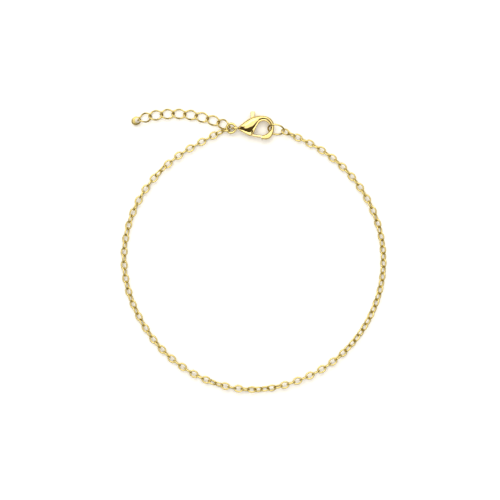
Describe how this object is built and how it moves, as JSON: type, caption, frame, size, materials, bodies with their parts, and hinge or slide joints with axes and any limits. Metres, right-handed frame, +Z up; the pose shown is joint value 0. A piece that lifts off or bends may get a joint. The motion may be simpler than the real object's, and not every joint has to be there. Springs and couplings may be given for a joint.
{
  "type": "chain bracelet",
  "caption": "Fine cable-chain bracelet lying flat and closed by its lobster clasp, with a twisted-link extension chain and a small domed oval end tag.",
  "frame": {"origin": "middle of the underside of the whole bracelet, on the surface that it lies on", "axes": "+X to the right and +Y towards the clasp as the bracelet is seen from above, +Z up"},
  "size_m": [0.0584, 0.0624, 0.0026],
  "materials": {
    "chain_gold": "polished gold tone",
    "clasp_gold": "bright polished gold tone",
    "lever_gold": "bright polished gold tone"
  },
  "bodies": {
    "bracelet": {"main_chain_left": "chain_gold", "main_chain_right": "chain_gold", "closing_ring": "chain_gold", "joining_ring": "chain_gold", "extension_link_1": "chain_gold", "extension_link_2": "chain_gold", "extension_link_3": "chain_gold", "extension_link_4": "chain_gold", "extension_link_5": "chain_gold", "extension_link_6": "chain_gold", "extension_link_7": "chain_gold", "extension_link_8": "chain_gold", "end_tag": "clasp_gold", "clasp_body": "clasp_gold", "clasp_pin": "lever_gold"},
    "lever": {"clasp_lever": "lever_gold"}
  },
  "joints": [
    {"name": "clasp_lever_hinge", "type": "hinge", "parent": "bracelet", "child": "lever", "pos_m": [-0.00083, 0.02612, 0.00125], "axis": [0, 0, 1], "range_deg": [0, 25], "stiffness_Nm_per_rad": 0.005, "springref_deg": -8.59}
  ]
}
